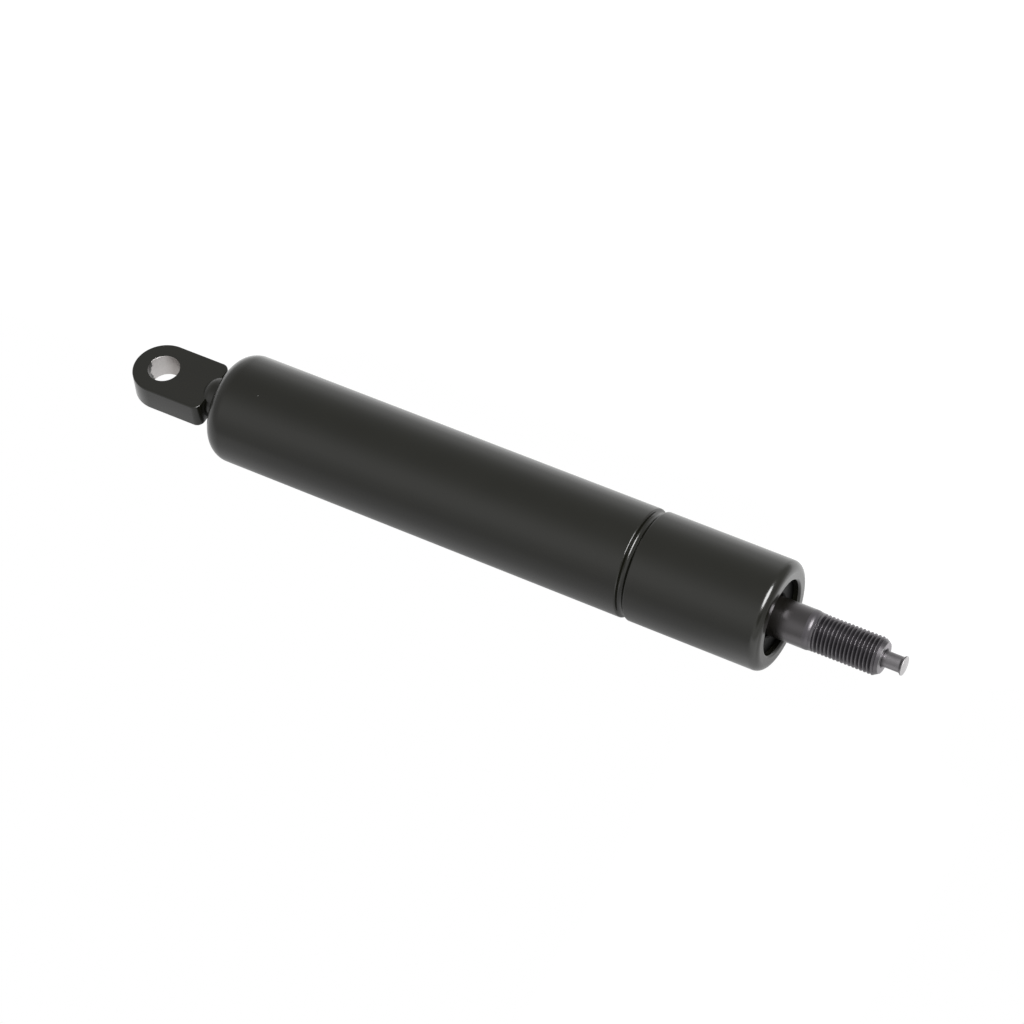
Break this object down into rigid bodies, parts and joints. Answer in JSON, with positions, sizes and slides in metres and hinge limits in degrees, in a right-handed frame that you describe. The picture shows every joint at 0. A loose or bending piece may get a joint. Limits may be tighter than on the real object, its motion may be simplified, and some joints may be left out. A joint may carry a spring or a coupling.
{
  "type": "lockable gas spring",
  "caption": "Lockable gas spring: painted tube with a flat eye at the base, a threaded hollow rod with a release pin, and the piston valve, separator, guide and seals inside.",
  "frame": {"origin": "centre of the eye's cross bore", "axes": "+X along the spring from the eye to the rod's threaded end, +Z along the eye's bore"},
  "size_m": [0.2134, 0.028, 0.028],
  "materials": {
    "black_paint": "satin",
    "eye_paint": "satin, bare steel in the bore",
    "nitrided_rod": "dark nitrided",
    "bright_steel": "turned",
    "dark_steel": "phosphated",
    "black_rubber": "matt",
    "seal_polymer": "matt",
    "guide_alloy": "turned",
    "bush_bronze": "sintered"
  },
  "bodies": {
    "cylinder": {"pressure_tube": "black_paint", "eye_fitting": "eye_paint", "base_o_ring": "black_rubber", "seal_support_washer": "bright_steel", "rod_seal": "black_rubber", "rod_guide": "guide_alloy", "guide_bush": "bush_bronze", "guide_o_ring": "black_rubber", "rod_wiper": "black_rubber", "closing_washer": "dark_steel"},
    "piston_rings": {"piston_seal": "black_rubber", "piston_glide_ring": "seal_polymer"},
    "rod": {"piston_rod": "nitrided_rod", "stop_washer": "bright_steel", "piston_body": "bright_steel", "tappet_seal": "black_rubber", "tappet_guide": "bush_bronze"},
    "release": {"release_pin": "bright_steel", "valve_tappet": "bright_steel", "valve_seal": "seal_polymer"},
    "separator": {"separator_piston": "guide_alloy", "separator_gas_seal": "black_rubber", "separator_oil_seal": "black_rubber"}
  },
  "joints": [
    {"name": "rod_slide", "type": "slide", "parent": "cylinder", "child": "piston_rings", "axis": [1, 0, 0], "range_m": [0, 0.05]},
    {"name": "rod_spin", "type": "hinge", "parent": "piston_rings", "child": "rod", "pos_m": [0.1, 0, 0], "axis": [1, 0, 0], "continuous": true},
    {"name": "release_press", "type": "slide", "parent": "rod", "child": "release", "axis": [-1, 0, 0], "range_m": [0, 0.0025], "stiffness_N_per_m": 4000, "springref_m": -0.01},
    {"name": "separator_slide", "type": "slide", "parent": "cylinder", "child": "separator", "axis": [1, 0, 0], "range_m": [0, 0.0085]}
  ],
  "couplings": [
    {"joint": "separator_slide", "follows": "rod_slide", "ratio": 0.16}
  ]
}
